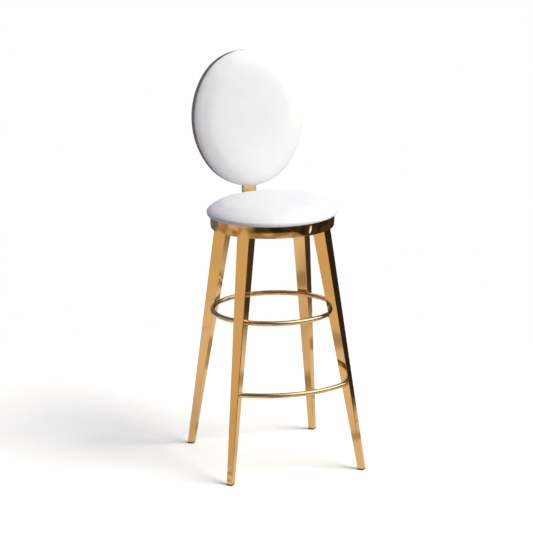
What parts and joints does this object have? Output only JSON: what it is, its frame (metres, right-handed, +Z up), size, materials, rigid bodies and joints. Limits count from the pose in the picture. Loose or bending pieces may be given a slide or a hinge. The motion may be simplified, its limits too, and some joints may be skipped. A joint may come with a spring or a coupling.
{
  "type": "bar stool",
  "caption": "Bar stool with a round padded seat, an oval padded backrest on a flat stem, tapered gold legs, a foot ring and a curved front footrest.",
  "frame": {"origin": "on the floor, at the middle of the stool's overall width and depth; the seat's axis is 20.6 mm in front of it", "axes": "+Z up, the sitter faces -Y, and the sitter's right is -X"},
  "size_m": [0.4132, 0.4853, 1.1547],
  "materials": {
    "gold_metal": "mirror-polished gold coating on steel",
    "black_plastic": "moulded",
    "white_leatherette": "smooth coated cloth",
    "foam": "upholstery foam",
    "plywood": "raw plywood",
    "hardboard": "raw hardboard",
    "dust_cloth": "non-woven cloth",
    "zinc_steel": "zinc plated"
  },
  "bodies": {
    "root": {"leg_front_right": "gold_metal", "leg_front_left": "gold_metal", "leg_rear_right": "gold_metal", "leg_rear_left": "gold_metal", "glide_front_right": "black_plastic", "glide_front_left": "black_plastic", "glide_rear_right": "black_plastic", "glide_rear_left": "black_plastic", "foot_ring": "gold_metal", "front_footrest": "gold_metal", "seat_base_ring": "gold_metal", "seat_band": "gold_metal", "seat_tabs": "gold_metal", "back_stem": "gold_metal", "backrest_rim": "gold_metal", "backrest_lugs": "gold_metal", "seat_board": "plywood", "seat_foam": "foam", "seat_cover": "white_leatherette", "seat_dust_cover": "dust_cloth", "seat_staples": "zinc_steel", "seat_screws": "zinc_steel", "seat_washers": "zinc_steel", "seat_tee_nuts": "zinc_steel", "backrest_board": "plywood", "backrest_foam": "foam", "backrest_cover": "white_leatherette", "backrest_screws": "zinc_steel", "rear_panel": "hardboard", "rear_panel_cover": "white_leatherette", "rear_panel_pins": "black_plastic"}
  },
  "joints": []
}
